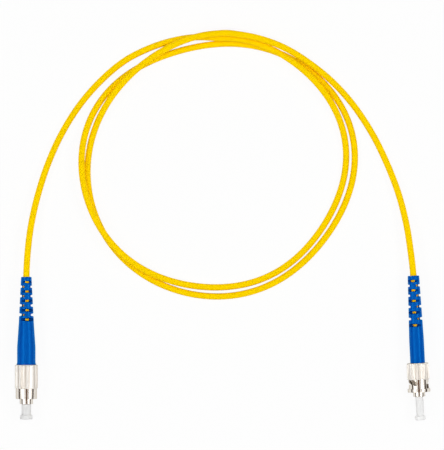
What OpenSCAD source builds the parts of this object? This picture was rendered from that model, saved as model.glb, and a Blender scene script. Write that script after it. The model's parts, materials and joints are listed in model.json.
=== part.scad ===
// Simplex fibre optic patch cord: an FC plug, a loosely looped jacketed cable and an ST plug.
// Millimetres. The cord lies on the plane z = 0 and both plugs point towards -Y.
// Each plug is drawn along its own axis, which runs from the cable tail (0) to the dust cap.

/* [Cable] */
// Outer diameter of the cable jacket
cable_d = 2.8; // [2.4:0.1:3]
// Diameter of the tight buffer inside the jacket
buffer_d = 0.9; // [0.8:0.05:1]
// Diameter of the bare glass fibre
fibre_d = 0.125; // [0.12:0.005:0.14]

/* [Cable loops] */
// Mean radius at the start of the loops
loop_r = 55.6; // [55.2:0.1:56]
// How much wider the loops are at their end than at their start
loop_spread = 1.9; // [1.6:0.1:2.2]
// Number of loops in the coil
loops = 2; // [2]
// Air between two runs of cable where one passes over the other
pass_gap = 0.5; // [0.45:0.01:0.6]

/* [Plug places] */
// Width over both plugs, from nut to nut
span_x = 182; // [180:0.5:184]
// Turn of the ST plug away from the FC plug
st_tilt = 2.8; // [2:0.1:3.5]
// How much further forward the tail of the FC boot starts
plug_stagger = 0.5; // [0:0.1:1]

/* [Fits] */
// Radial clearance of pressed, screwed and crimped joints
seat_fit = 0.02; // [0.01:0.01:0.03]
// Radial clearance of turning and sliding joints
run_fit = 0.1; // [0.05:0.01:0.1]
// Clearance between end faces that move on each other
face_gap = 0.1; // [0.05:0.01:0.2]
// Radial clearance of the cable in a boot
boot_fit = 0.15; // [0.12:0.01:0.2]
// Radial clearance between unconnected shells, such as a nut round a collar
shell_gap = 0.2; // [0.15:0.01:0.3]

/* [Boot slots] */
// Width of a flex slot at its floor
slot_w = 0.7; // [0.6:0.05:0.9]
// How much wider a slot gets on each side, for each millimetre outwards
slot_flare = 0.2; // [0.1:0.01:0.22]
// Distance of the slot floors from the cable axis
slot_floor = 1.27; // [1.2:0.01:1.35]
// Turn of the boots about the cable
boot_turn = 20; // [0:1:45]
// Distance from the boot tail to the first slot
slot_first = 2.25; // [2:0.05:2.5]
// Distance between the slots that share a side, at the tail
slot_pitch = 4.1; // [3.9:0.05:4.2]
// Slots on each of the upper and lower sides
slot_count = 5; // [3:1:5]
// How much each pitch of the ST boot is longer than the one before
st_slot_growth = 0.5; // [0.3:0.05:0.6]

/* [FC boot] */
// Length of the FC boot
fc_boot_len = 38.4; // [38:0.1:40]
// Diameter at the cable end
fc_boot_tail_d = 4.6; // [4.4:0.1:5]
// Diameter at the end of the slotted taper
fc_boot_neck_d = 6.55; // [6.3:0.05:7]
// Diameter of the plain grip
fc_boot_grip_d = 8.05; // [7.9:0.05:8.6]
// Length of the slotted taper
fc_boot_taper_len = 19.6; // [19.4:0.1:21]
// Length of the steeper cone from that taper to the grip
fc_boot_shoulder_len = 10.8; // [9:0.1:11]
// Width of the small bead at the nut end
fc_boot_bead = 0.12; // [0.05:0.01:0.2]

/* [FC coupling nut] */
// Diameter over the knurl
fc_nut_d = 10; // [9.6:0.1:10.4]
// Length of the knurl
fc_knurl_len = 10.4; // [10:0.1:11]
// Number of knurl grooves
fc_knurl_n = 60; // [40:1:72]
// Depth of the knurl grooves
fc_knurl_depth = 0.12; // [0.08:0.01:0.16]
// Diameter of the plain front sleeve
fc_sleeve_d = 9.3; // [9:0.1:9.6]
// Length of the plain front sleeve
fc_sleeve_len = 4.5; // [4.2:0.1:5]
// Chamfer on the nut edges
nut_chamfer = 0.35; // [0.2:0.05:0.45]
// Nominal diameter of the coupling thread, M8 x 0.75
fc_thread_d = 8; // [7.9:0.05:8.1]
// Length of the inner lip that bears on the frame collar
fc_lip_len = 2.2; // [1.8:0.1:2.6]
// Depth of the coupling thread, which is a plain bore of its minor diameter here
fc_thread_depth = 0.4; // [0.35:0.01:0.45]

/* [FC plug frame] */
// Outer diameter of the nose
fc_nose_d = 5.8; // [5.6:0.05:5.9]
// Bore of the nose, round the ferrule
fc_nose_bore_d = 4.5; // [4.4:0.05:4.7]
// Length of the nose in front of the nut
fc_nose_show = 2.3; // [2:0.1:2.6]
// Step from the nose to its keyed part
fc_nose_step = 0.2; // [0.18:0.01:0.3]
// Depth of the nose bore, from its mouth to the ferrule seat
fc_nose_bore_len = 6.7; // [6.4:0.1:7]
// Diameter of the barrel on which the nut turns
fc_barrel_d = 6.2; // [6:0.05:6.4]
// Length of the barrel behind the collar
fc_barrel_len = 5; // [4.8:0.1:5.5]
// Length of the collar that the nut pulls on
fc_collar_len = 1.4; // [1.2:0.1:1.8]
// Length of the key
fc_key_len = 4.1; // [3.8:0.1:4.4]
// Width of the key
fc_key_w = 2; // [1.8:0.05:2.1]
// Bore of the spring chamber
fc_chamber_d = 5.1; // [5:0.05:5.3]

/* [FC inner parts] */
// Travel of the sprung ferrule
fc_float = 1; // [0.8:0.05:1.2]
// Length of the flange of the ferrule holder
fc_flange_len = 1.5; // [1.3:0.1:1.8]
// Width of the notch in that flange that keeps the ferrule from turning
key_notch = 1; // [0.8:0.1:1.2]
// Length of the hub in front of that flange
fc_hub_len = 1.2; // [1:0.1:1.4]
// Length of the holder tail inside the spring
fc_holder_tail_len = 4.5; // [4:0.1:5]
// Wall of the holder tail
fc_holder_wall = 0.48; // [0.4:0.02:0.55]
// Wall of the guide tube round the buffer
guide_wall = 0.22; // [0.15:0.01:0.25]
// Wire of the FC spring
fc_wire_d = 0.4; // [0.35:0.05:0.45]
// Curls of the FC spring
fc_curls = 5; // [4:0.5:5.5]
// Length of the part of the back body that screws into the frame
fc_spigot_len = 3.5; // [3.2:0.1:3.8]
// Length of the flange of the back body
fc_stop_flange_len = 1.2; // [1:0.1:1.4]
// Length of the tail of the back body, under the crimp
fc_stop_tail_len = 7.8; // [7:0.1:8.4]
// Diameter of the tail of the back body
fc_stop_tail_d = 3.9; // [3.7:0.05:4]

/* [Ferrules] */
// Diameter of both ferrules
ferrule_d = 2.5; // [2.48:0.005:2.52]
// Length of the FC ferrule in front of the nose
fc_ferrule_show = 4.9; // [4.6:0.1:5.2]
// Length of the ST ferrule in front of the skirt
st_ferrule_show = 9.3; // [9:0.1:9.6]
// Chamfer at the ferrule tip
ferrule_chamfer = 0.45; // [0.3:0.05:0.6]
// Depth of that chamfer
ferrule_chamfer_depth = 0.27; // [0.2:0.01:0.3]
// Length of the FC ferrule inside its holder
fc_ferrule_seat_len = 2.2; // [2:0.1:2.6]
// Length of the ST ferrule inside its body
st_ferrule_seat_len = 4.9; // [4.5:0.1:5.2]
// Depth of the funnel at the rear of a ferrule
ferrule_funnel = 1; // [0.8:0.1:1.2]

/* [Crimp sleeves] */
// Wall of a crimp sleeve
crimp_wall = 0.38; // [0.3:0.02:0.4]
// Thickness of the trapped layer of aramid yarn
aramid_wall = 0.22; // [0.18:0.02:0.24]
// Length of the narrow end that grips the jacket
crimp_grip_len = 5.5; // [4.5:0.1:5.8]
// Length of jacket inside that narrow end
jacket_grip_len = 4.8; // [4:0.1:5]
// Length of the cone between the two ends of a crimp sleeve
crimp_cone_len = 1; // [0.8:0.1:1.2]
// Grooves under the crimp, in the tail that it grips
crimp_grooves = 5; // [4:1:6]
// Width of such a groove
crimp_groove_w = 0.4; // [0.3:0.05:0.5]
// Depth of such a groove
crimp_groove_depth = 0.15; // [0.1:0.01:0.2]

/* [Dust caps] */
// Outer diameter of the sleeve of the FC cap
fc_cap_d = 4.1; // [3.9:0.05:4.15]
// Diameter of the finger flange of the FC cap
fc_cap_flange_d = 5.4; // [5.2:0.1:5.4]
// Length of the finger flange of the FC cap
fc_cap_flange_len = 2; // [1.8:0.1:2.2]
// Outer diameter of the sleeve of the ST cap
st_cap_d = 3.4; // [3.3:0.05:3.6]
// Diameter of the finger flange of the ST cap
st_cap_flange_d = 4.6; // [4.4:0.1:5]
// Length of the finger flange of the ST cap
st_cap_flange_len = 1.8; // [1.6:0.1:2]
// Thickness of the closed end of the FC cap, past the ferrule tip
fc_cap_end = 1.7; // [1.4:0.1:2]
// Thickness of that end on the smaller ST cap
st_cap_end = 0.85; // [0.7:0.05:1]
// Radial clearance of a cap on its ferrule
cap_fit = 0.05; // [0.03:0.01:0.08]
// Length of a cap inside the nose or the skirt
cap_inside = 1.6; // [1.2:0.1:2]

/* [ST boot] */
// Length of the ST boot
st_boot_len = 38.2; // [38:0.1:40]
// Diameter at the cable end
st_boot_tail_d = 5.05; // [4.8:0.05:5.2]
// Diameter at the nut end
st_boot_front_d = 6.45; // [6.4:0.05:6.8]
// Length of its taper, from the cable end
st_boot_taper_len = 28; // [26:0.5:32]

/* [ST bayonet nut] */
// Diameter over the flutes
st_nut_d = 9.8; // [9.6:0.1:10]
// Length of the fluted grip
st_grip_len = 7.2; // [7:0.1:7.6]
// Number of flutes
st_flutes = 28; // [20:1:32]
// Radius of a flute
st_flute_r = 0.34; // [0.25:0.01:0.4]
// Diameter of the slotted sleeve
st_sleeve_d = 8.7; // [8.6:0.05:8.8]
// Length of the slotted sleeve
st_sleeve_len = 3.9; // [3.8:0.1:4.2]
// Diameter of the front rim
st_rim_d = 9.9; // [9.8:0.05:10.2]
// Length of the front rim
st_rim_len = 1.6; // [1.4:0.1:1.8]
// Bore of the nut round the socket barrel
st_nut_bore_d = 7.5; // [7.4:0.05:7.6]
// Travel of the nut when it is pushed on
st_push = 2.2; // [1.8:0.1:2.3]
// Width of the bayonet slot
st_slot_w = 2; // [1.9:0.05:2.1]
// Angle from the slot's resting pocket to the top of the nut
st_pocket_angle = 23; // [0:1:45]
// How far the resting pocket lies in front of the slot that leads to it
st_pocket_depth = 0.5; // [0.4:0.05:0.6]
// Turn of the nut from entry to lock
st_lock_turn = 95; // [85:1:100]
// Thickness of the inner lip of the nut
st_lip_len = 1; // [0.8:0.1:1.2]
// Depth of the recess for the retaining clip, behind the lip
st_recess_len = 1.1; // [1:0.05:1.3]

/* [ST body] */
// Diameter of the keyed skirt round the ferrule
st_skirt_d = 5.2; // [5.1:0.05:5.25]
// Length of the skirt in front of the nut
st_skirt_show = 2; // [1.8:0.1:2.2]
// Length of the skirt, from collar to mouth
st_skirt_len = 6.5; // [6.3:0.1:6.8]
// Length of the plain mouth of the skirt, in front of the key
st_mouth_len = 2.2; // [2:0.1:2.4]
// Step from the mouth of the skirt to its keyed part
st_skirt_step = 0.2; // [0.18:0.01:0.3]
// Depth of the bore round the cap and the split sleeve of a socket
st_mouth_bore_len = 2.8; // [2.4:0.1:3]
// Diameter of that bore
st_mouth_bore_d = 3.8; // [3.7:0.05:4]
// Diameter of the collar that the spring pushes on
st_collar_d = 6.8; // [6.6:0.05:7]
// Diameter of the barrel inside the spring
st_barrel_d = 4.4; // [4.3:0.05:4.5]
// Diameter of the tail under the crimp
st_tail_d = 3.5; // [3.4:0.05:3.6]
// Distance from the front of the boot back to the shoulder of the barrel
st_shoulder_set = 1.8; // [1.5:0.1:2.1]
// Length of the tail under the crimp
st_tail_len = 7.3; // [7:0.1:8]
// Width of the key
st_key_w = 1; // [0.8:0.05:1.1]
// Wire of the ST spring
st_wire_d = 0.5; // [0.45:0.05:0.55]
// Curls of the ST spring
st_curls = 3; // [2.5:0.25:3.25]
// Thickness of the thrust washer
st_washer_t = 0.4; // [0.3:0.05:0.5]
// Thickness of the retaining clip
st_clip_t = 0.5; // [0.4:0.05:0.6]
// Outer diameter of the retaining clip
st_clip_d = 5.8; // [5.6:0.1:6]
// Depth of the clip groove in the barrel
st_groove = 0.3; // [0.2:0.05:0.35]

/* [Hidden] */
$fn = 96;

blue = [0.04, 0.35, 0.78];
yellow = [1, 0.8, 0.05];
nickel = [0.83, 0.81, 0.77];
steel = [0.6, 0.62, 0.64];
zirconia = [0.95, 0.95, 0.93];
clear_plastic = [0.9, 0.91, 0.91];
aramid = [0.93, 0.82, 0.35];

cable_r = cable_d / 2;
ferrule_r = ferrule_d / 2;
boot_bore_r = cable_r + boot_fit;
fibre_bore_r = fibre_d / 2 + 0.0025;
// Small chamfers, the overlap of shapes joined in one solid, and a length past any plug's side
edge = 0.25;
joined = 0.1;
far = 6;

// FC stations along its axis, from the nut back to the tail and forward to the cap
fc_nut_rear = fc_boot_len + face_gap;
fc_sleeve_start = fc_nut_rear + fc_knurl_len;
fc_nut_front = fc_sleeve_start + fc_sleeve_len;
fc_nose_front = fc_nut_front + fc_nose_show;
fc_collar_rear = fc_nut_rear + fc_lip_len + face_gap;
fc_collar_front = fc_collar_rear + fc_collar_len;
fc_key_front = fc_collar_front + fc_key_len;
fc_frame_rear = fc_collar_rear - fc_barrel_len;
fc_seat = fc_nose_front - fc_nose_bore_len;
fc_flange_front = fc_seat - face_gap / 2;
fc_flange_rear = fc_flange_front - fc_flange_len;
fc_hub_front = fc_flange_front + fc_hub_len;
fc_ferrule_rear = fc_hub_front - fc_ferrule_seat_len;
fc_tip = fc_nose_front + fc_ferrule_show;
fc_cap_front = fc_tip + face_gap + fc_cap_end;
fc_cap_rear = fc_nose_front - cap_inside;
fc_holder_rear = fc_flange_rear - fc_holder_tail_len;
fc_spring_seat = fc_frame_rear + fc_spigot_len;
fc_stop_rear = fc_frame_rear - fc_stop_flange_len;
fc_tail_end = fc_stop_rear - fc_stop_tail_len;
fc_crimp_front = fc_stop_rear - face_gap;
fc_crimp_mid = fc_tail_end - face_gap;
fc_crimp_rear = fc_crimp_mid - crimp_cone_len - crimp_grip_len;
fc_jacket_end = fc_crimp_rear + jacket_grip_len;
fc_buffer_rear = fc_jacket_end + fc_float + face_gap;
fc_guide_rear = fc_tail_end + fc_float;

// FC radii
fc_barrel_r = fc_barrel_d / 2;
fc_minor_r = fc_thread_d / 2 - fc_thread_depth;
fc_undercut_r = fc_thread_d / 2 + run_fit;
fc_collar_r = fc_undercut_r - shell_gap;
fc_key_r = fc_minor_r - run_fit;
fc_chamber_r = fc_chamber_d / 2;
fc_flange_r = fc_chamber_r - shell_gap / 2;
fc_spring_r = fc_chamber_r - shell_gap - fc_wire_d;
fc_tail_bore_r = buffer_d / 2 + guide_wall + run_fit;
fc_tail_r = fc_stop_tail_d / 2;
fc_yarn_r = fc_tail_r + seat_fit + aramid_wall;
fc_crimp_r = fc_yarn_r + seat_fit + crimp_wall;
fc_holder_tail_r = buffer_d / 2 + seat_fit + fc_holder_wall;
crimp_grip_r = cable_r + seat_fit + crimp_wall;

// ST stations along its axis
st_nut_rear = st_boot_len + face_gap;
st_sleeve_start = st_nut_rear + st_grip_len;
st_rim_start = st_sleeve_start + st_sleeve_len;
st_nut_front = st_rim_start + st_rim_len;
st_mouth = st_nut_front + st_skirt_show;
st_collar_front = st_mouth - st_skirt_len;
st_lip_rear = st_nut_rear + st_recess_len;
st_lip_front = st_lip_rear + st_lip_len;
st_washer_front = st_lip_front + face_gap + st_washer_t;
st_collar_rear = st_washer_front + st_push + (st_curls + 1) * st_wire_d + 2 * face_gap;
st_clip_front = st_lip_rear - face_gap;
st_clip_rear = st_clip_front - st_clip_t;
st_tail_front = st_boot_len - st_shoulder_set;
st_tail_end = st_tail_front - st_tail_len;
st_crimp_front = st_tail_front - face_gap;
st_crimp_mid = st_tail_end - face_gap;
st_crimp_rear = st_crimp_mid - crimp_cone_len - crimp_grip_len;
st_jacket_end = st_crimp_rear + jacket_grip_len;
st_tip = st_mouth + st_ferrule_show;
st_cap_front = st_tip + face_gap + st_cap_end;
st_cap_rear = st_mouth - cap_inside;
st_mouth_bore_end = st_mouth - st_mouth_bore_len;
st_ferrule_rear = st_mouth_bore_end - st_ferrule_seat_len;

// ST radii
st_skirt_r = st_skirt_d / 2;
st_barrel_r = st_barrel_d / 2;
st_bore_r = st_nut_bore_d / 2;
st_slide_r = st_barrel_r + run_fit;
st_recess_r = st_clip_d / 2 + shell_gap;
st_washer_r = st_bore_r - run_fit;
st_spring_r = st_barrel_r + 2 * shell_gap + st_wire_d / 2;
st_tail_r = st_tail_d / 2;
st_yarn_r = st_tail_r + seat_fit + aramid_wall;
st_crimp_r = st_yarn_r + seat_fit + crimp_wall;
st_tail_bore_r = buffer_d / 2 + run_fit;
st_groove_r = st_barrel_r - st_groove;

// Places of the plugs: the box round them is centred on the origin and stands on z = 0
fc_z = fc_nut_d / 2;
st_z = st_rim_d / 2;
fc_x = fc_nut_d / 2 - span_x / 2;
st_x = span_x / 2 - st_z * cos(st_tilt) - st_nut_front * sin(st_tilt);
st_y = st_cap_front * cos(st_tilt) / 2;
fc_y = st_y - plug_stagger;

function fc_point(s) = [fc_x, fc_y - s, fc_z];
function st_point(s) = [st_x + s * sin(st_tilt), st_y - s * cos(st_tilt), st_z];

module fc_at() translate([fc_x, fc_y, fc_z]) rotate([90, 0, 0]) children();
module st_at() translate([st_x, st_y, st_z]) rotate([0, 0, st_tilt]) rotate([90, 0, 0]) children();

// ---- Cable route ----
// Angles in the loops run clockwise from +Y and count on from loop to loop.
loop_x = -2;
loop_y = 80.1;
loop_end = 360 * loops;
loop_step = 15;

// The loops are oval and wander a little: waves in two loops, reach, angle of a crest
LOOP_WAVES = [[1, 0.85, 449], [2, 0.35, 254], [3, 1.3, 22], [4, 1.9, 71], [5, 0.9, 140],
    [6, 0.4, 54], [7, 0.25, 98], [8, 0.25, 82], [9, 0.15, 66], [10, 0.3, 9]];

// Where the cable passes over itself: middle angle, half of the flat, ramp, height in passes
LOOP_HUMPS = [[28, 16, 40, 1], [243, 22, 36, 1], [704, 28, 36, 1], [733, 12, 30, 0.8]];

// Free leads between the boots and the loops, both written from the boot outwards
FC_LEAD = [[-85.5, 43, 4.9], [-84, 54.5, 4.3], [-81.2, 67, 3.2], [-77, 80.2, 2.2],
    [-71.1, 93.4, 1.7], [-63.2, 106, 1.5], [-53.6, 117, 1.5], [-43, 125.9, 1.5],
    [-32, 131.5, 1.5], [-22, 134.7, 1.6], [-12, 136.2, 2.5]];
ST_LEAD = [[82.2, 42.8, 4.9], [80.2, 54.8, 4], [76.7, 68, 2.8], [71.6, 81.5, 1.9],
    [65.4, 94, 1.5], [57.6, 106, 1.6], [48.8, 116, 2.5], [39, 124.1, 3.7],
    [28.3, 130.8, 5.9], [17.6, 135, 7.2], [7, 137.2, 7.4]];

function ease(t) = let (u = max(0, min(1, t))) u * u * (3 - 2 * u);
function wave(w, a) = w[1] * cos(w[0] * (a - w[2]) / 2);
function hump(h, a) = h[3] * ease(1 - max(0, abs(a - h[0]) - h[1]) / h[2]);
function total(v, i = 0) = i < len(v) ? v[i] + total(v, i + 1) : 0;
function loop_reach(a) = loop_r + loop_spread * a / loop_end + total([for (w = LOOP_WAVES) wave(w, a)]);
function loop_rise(a) = cable_r + (cable_d + pass_gap) * total([for (h = LOOP_HUMPS) hump(h, a)]);
function loop_point(a) = [loop_x + loop_reach(a) * sin(a), loop_y + loop_reach(a) * cos(a), loop_rise(a)];
function unit(v) = v / norm(v);
function loop_way(a) = unit(loop_point(a + 1) - loop_point(a - 1));

// Catmull-Rom points through a route, two to an interval; the first and last point only steer
function blend(p, t) = (2 * p[1] + (p[2] - p[0]) * t + (2 * p[0] - 5 * p[1] + 4 * p[2] - p[3]) * t * t
    + (3 * p[1] - p[0] - 3 * p[2] + p[3]) * t * t * t) / 2;
function smooth_route(p) = concat([for (i = [1:len(p) - 3]) for (t = [0, 0.5])
    blend([p[i - 1], p[i], p[i + 1], p[i + 2]], t)], [p[len(p) - 2]]);
function part_way(p, i) = unit(p[min(i + 1, len(p) - 1)] - p[max(i - 1, 0)]);

fc_route = smooth_route(concat([fc_point(fc_jacket_end * 1.5), fc_point(fc_jacket_end),
    fc_point(fc_jacket_end / 2), fc_point(0)], FC_LEAD, [loop_point(0), loop_point(loop_step)]));
st_route = smooth_route(concat([st_point(st_jacket_end * 1.5), st_point(st_jacket_end),
    st_point(st_jacket_end / 2), st_point(0)], ST_LEAD,
    [loop_point(loop_end), loop_point(loop_end - loop_step)]));
loop_route = concat([loop_point(0), loop_point(0) + cable_d * loop_way(0)],
    [for (a = [loop_step:loop_step:loop_end - loop_step]) loop_point(a)],
    [loop_point(loop_end) - cable_d * loop_way(loop_end), loop_point(loop_end)]);

// A ring of points square to the way w at p, and a closed tube through a route
function ring(p, w, n) = let (s = unit(cross(w, [0, 0, 1])), u = cross(s, w))
    [for (k = [0:n - 1]) p + cable_r * (cos(360 * k / n + 90) * s + sin(360 * k / n + 90) * u)];
function tube_faces(rings, n) = concat(
    [for (i = [0:rings - 2]) for (k = [0:n - 1]) for (f = [0, 1])
        let (a = i * n + k, b = i * n + (k + 1) % n) f == 0 ? [a, b, b + n] : [a, b + n, a + n]],
    [for (k = [1:n - 2]) [0, k + 1, k]],
    [for (k = [1:n - 2]) [(rings - 1) * n, (rings - 1) * n + k, (rings - 1) * n + k + 1]]);

module tube(route, ways, n) {
    points = [for (i = [0:len(route) - 1]) each ring(route[i], ways[i], n)];
    polyhedron(points, tube_faces(len(route), n));
}

module lead(route, last_way) {
    last = len(route) - 1;
    tube(route, [for (i = [0:last]) i == last ? last_way : part_way(route, i)], 8);
}

// Least gap between two runs of the cord, on points a quarter of a ring step apart
function quarters(p) = [for (i = [0:len(p) - 2]) for (k = [0:3]) p[i] + (p[i + 1] - p[i]) * k / 4];
function backward(p) = [for (i = [len(p) - 1:-1:0]) p[i]];
cord_points = quarters(concat(fc_route, loop_route, backward(st_route)));
apart = 40;
echo(least_gap = min([for (i = [0:len(cord_points) - apart - 1]) for (j = [i + apart:len(cord_points) - 1])
    norm(cord_points[i] - cord_points[j])]) - cable_d);

// ---- Shared shapes ----
// A turned shape from its outline, as [radius, station] points
module turned(outline) rotate_extrude() polygon(outline);

// A plain ring or drilled disc
module sleeve(r_out, r_in, s0, s1) {
    translate([0, 0, s0]) difference() {
        cylinder(r = r_out, h = s1 - s0);
        translate([0, 0, -1]) cylinder(r = r_in, h = s1 - s0 + 2);
    }
}

// A pair of opposite flex slots across a boot, cut down to flat floors
module slot_pair(s, turn) {
    for (side = [0, 180]) rotate([0, 0, turn + side]) translate([-far, slot_floor, s]) rotate([90, 0, 90])
        linear_extrude(2 * far) polygon([[0, -slot_w / 2], [0, slot_w / 2],
            [far, slot_w / 2 + slot_flare * far], [far, -slot_w / 2 - slot_flare * far]]);
}

function slot_place(k, growth) = slot_first + slot_pitch * k + growth * k * (k - 1) / 2;

module boot_slots(growth, turn) {
    for (k = [0:slot_count - 1]) slot_pair(slot_place(k, growth), turn);
    for (k = [0:slot_count - 2])
        slot_pair((slot_place(k, growth) + slot_place(k + 1, growth)) / 2, turn + 90);
}

// The stepped cavity of a boot, for the cable, the crimp sleeve and what is in front of it
module boot_cavity(crimp_rear, crimp_mid, crimp_r, crimp_front, front_r, end) {
    turned([[0, -1], [boot_bore_r, -1], [boot_bore_r, crimp_rear - face_gap],
        [crimp_grip_r + seat_fit, crimp_rear - face_gap],
        [crimp_grip_r + seat_fit, crimp_mid - crimp_cone_len - face_gap],
        [crimp_r + seat_fit, crimp_mid - face_gap], [crimp_r + seat_fit, crimp_front],
        [front_r, crimp_front], [front_r, end + 1], [0, end + 1]]);
}

// A crimp sleeve: a narrow end on the jacket, a cone, and a wide end over yarn and tail
module crimp(rear, mid, front, r_out, r_in) {
    turned([[cable_r + seat_fit, rear], [crimp_grip_r, rear], [crimp_grip_r, mid - crimp_cone_len],
        [r_out, mid], [r_out, front], [r_in, front], [r_in, mid],
        [cable_r + seat_fit, mid - crimp_cone_len]]);
}

// The yarn that the crimp sleeve traps, with shallow furrows between its six bundles
module yarn(rear, front, r_in, r_out) {
    furrow_w = 0.2;
    furrow_depth = 0.05;
    difference() {
        sleeve(r_out, r_in, rear, front);
        for (a = [0:60:359]) rotate([0, 0, a]) translate([r_out - furrow_depth, -furrow_w / 2, rear - 1])
            cube([1, furrow_w, front - rear + 2]);
    }
}

// Evenly spaced grooves round a tail, as a tool that is taken away
module tail_grooves(r, s0, s1) {
    pitch = (s1 - s0) / (crimp_grooves + 1);
    for (i = [1:crimp_grooves]) sleeve(r + 1, r - crimp_groove_depth, s0 + i * pitch,
        s0 + i * pitch + crimp_groove_w);
}

// A round ferrule with a chamfered tip, a fibre bore and a funnel at the rear
module ferrule(rear, tip) {
    turned([[buffer_d / 2 + seat_fit, rear], [ferrule_r, rear], [ferrule_r, tip - ferrule_chamfer],
        [ferrule_r - ferrule_chamfer_depth, tip], [fibre_bore_r, tip],
        [fibre_bore_r, rear + ferrule_funnel]]);
}

// A closed cap: sleeve, finger flange and a bore for the ferrule
module cap(rear, front, tip, r, flange_r, flange_len) {
    turned([[ferrule_r + cap_fit, rear], [r, rear], [r, front - flange_len],
        [flange_r, front - flange_len + edge], [flange_r, front - edge], [flange_r - edge, front],
        [0, front], [0, tip + face_gap], [ferrule_r + cap_fit, tip + face_gap]]);
}

// A coil spring as one swept wire: eight rings to a curl, six sides
function coil_at(r, s0, rise, a) = [r * cos(a), r * sin(a), s0 + rise * a / 360];
module spring(r, wire, s0, s1, curls) {
    rise = (s1 - s0 - wire) / curls;
    steps = round(8 * curls);
    points = [for (i = [0:steps])
        let (a = 360 * curls * i / steps, p = coil_at(r, s0 + wire / 2, rise, a),
            w = unit([-sin(a) * r, cos(a) * r, rise / (2 * PI)]), s = [cos(a), sin(a), 0], u = cross(w, s))
        each [for (k = [0:5]) p + wire / 2 * (cos(60 * k) * s + sin(60 * k) * u)]];
    polyhedron(points, tube_faces(steps + 1, 6));
}

// ---- Cable ----
module cable_fc_lead() color(yellow) lead(fc_route, loop_way(0));

module cable_st_lead() color(yellow) lead(st_route, -loop_way(loop_end));

module cable_coil() {
    last = len(loop_route) - 1;
    ways = [for (i = [0:last]) i < 2 ? loop_way(0) : i > last - 2 ? loop_way(loop_end)
        : loop_way((i - 1) * loop_step)];
    color(yellow) tube(loop_route, ways, 6);
}

// ---- FC plug ----
module fc_boot() {
    tail_r = fc_boot_tail_d / 2;
    grip_r = fc_boot_grip_d / 2;
    color(blue) fc_at() difference() {
        turned([[0, 0], [tail_r - edge, 0], [tail_r, edge], [fc_boot_neck_d / 2, fc_boot_taper_len],
            [grip_r, fc_boot_taper_len + fc_boot_shoulder_len], [grip_r, fc_boot_len - 1],
            [grip_r + fc_boot_bead, fc_boot_len - edge], [grip_r + fc_boot_bead, fc_boot_len],
            [0, fc_boot_len]]);
        boot_cavity(fc_crimp_rear, fc_crimp_mid, fc_crimp_r, fc_crimp_front, fc_barrel_r + seat_fit,
            fc_boot_len);
        boot_slots(0, -boot_turn);
    }
}

module fc_crimp_sleeve() color(nickel) fc_at()
    crimp(fc_crimp_rear, fc_crimp_mid, fc_crimp_front, fc_crimp_r, fc_yarn_r + seat_fit);

module fc_aramid_yarn() color(aramid) fc_at()
    yarn(fc_tail_end + face_gap, fc_crimp_front - face_gap, fc_tail_r + seat_fit, fc_yarn_r);

module fc_back_body() color(nickel) fc_at() difference() {
    union() {
        sleeve(fc_tail_r, fc_tail_bore_r, fc_tail_end, fc_stop_rear + joined);
        sleeve(fc_barrel_r, fc_tail_bore_r, fc_stop_rear, fc_frame_rear);
        sleeve(fc_chamber_r - seat_fit, fc_tail_bore_r, fc_frame_rear - joined, fc_spring_seat);
    }
    tail_grooves(fc_tail_r, fc_tail_end, fc_stop_rear);
}

module fc_plug_frame() {
    nose_r = fc_nose_d / 2;
    keyed_r = nose_r + fc_nose_step;
    color(nickel) fc_at() difference() {
        union() {
            turned([[0, fc_frame_rear], [fc_barrel_r, fc_frame_rear], [fc_barrel_r, fc_collar_rear],
                [fc_collar_r, fc_collar_rear], [fc_collar_r, fc_collar_front],
                [keyed_r, fc_collar_front], [keyed_r, fc_key_front], [nose_r, fc_key_front],
                [nose_r, fc_nose_front], [0, fc_nose_front]]);
            translate([-fc_key_w / 2, -fc_key_r, fc_collar_front - joined])
                cube([fc_key_w, fc_key_r - fc_nose_bore_d / 2, fc_key_len + joined]);
        }
        translate([0, 0, fc_frame_rear - 1]) cylinder(r = fc_chamber_r, h = fc_seat - fc_frame_rear + 1);
        translate([0, 0, fc_seat - 1]) cylinder(d = fc_nose_bore_d, h = fc_nose_bore_len + 2);
    }
}

module fc_coupling_nut() {
    r = fc_nut_d / 2;
    fc_thread_rear = fc_key_front + face_gap;
    color(nickel) fc_at() difference() {
        union() {
            intersection() {
                translate([0, 0, fc_nut_rear]) linear_extrude(fc_knurl_len) difference() {
                    circle(r);
                    for (i = [0:fc_knurl_n - 1]) rotate((i + 0.5) * 360 / fc_knurl_n) translate([r, 0])
                        rotate(45) square(fc_knurl_depth * sqrt(2), center = true);
                }
                turned([[0, fc_nut_rear], [r - nut_chamfer, fc_nut_rear],
                    [r, fc_nut_rear + nut_chamfer], [r, fc_sleeve_start - nut_chamfer],
                    [r - nut_chamfer, fc_sleeve_start], [0, fc_sleeve_start]]);
            }
            turned([[0, fc_sleeve_start - 1], [fc_sleeve_d / 2, fc_sleeve_start - 1],
                [fc_sleeve_d / 2, fc_nut_front - edge], [fc_sleeve_d / 2 - edge, fc_nut_front],
                [0, fc_nut_front]]);
        }
        turned([[0, fc_nut_rear - 1], [fc_barrel_r + run_fit, fc_nut_rear - 1],
            [fc_barrel_r + run_fit, fc_nut_rear + fc_lip_len], [fc_undercut_r, fc_nut_rear + fc_lip_len],
            [fc_undercut_r, fc_thread_rear], [fc_minor_r, fc_thread_rear + fc_thread_depth],
            [fc_minor_r, fc_nut_front - fc_thread_depth], [fc_undercut_r, fc_nut_front],
            [fc_undercut_r, fc_nut_front + 1], [0, fc_nut_front + 1]]);
    }
}

module fc_spring() color(steel) fc_at()
    spring(fc_spring_r + fc_wire_d / 2, fc_wire_d, fc_spring_seat + seat_fit, fc_flange_rear - seat_fit,
        fc_curls);

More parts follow.
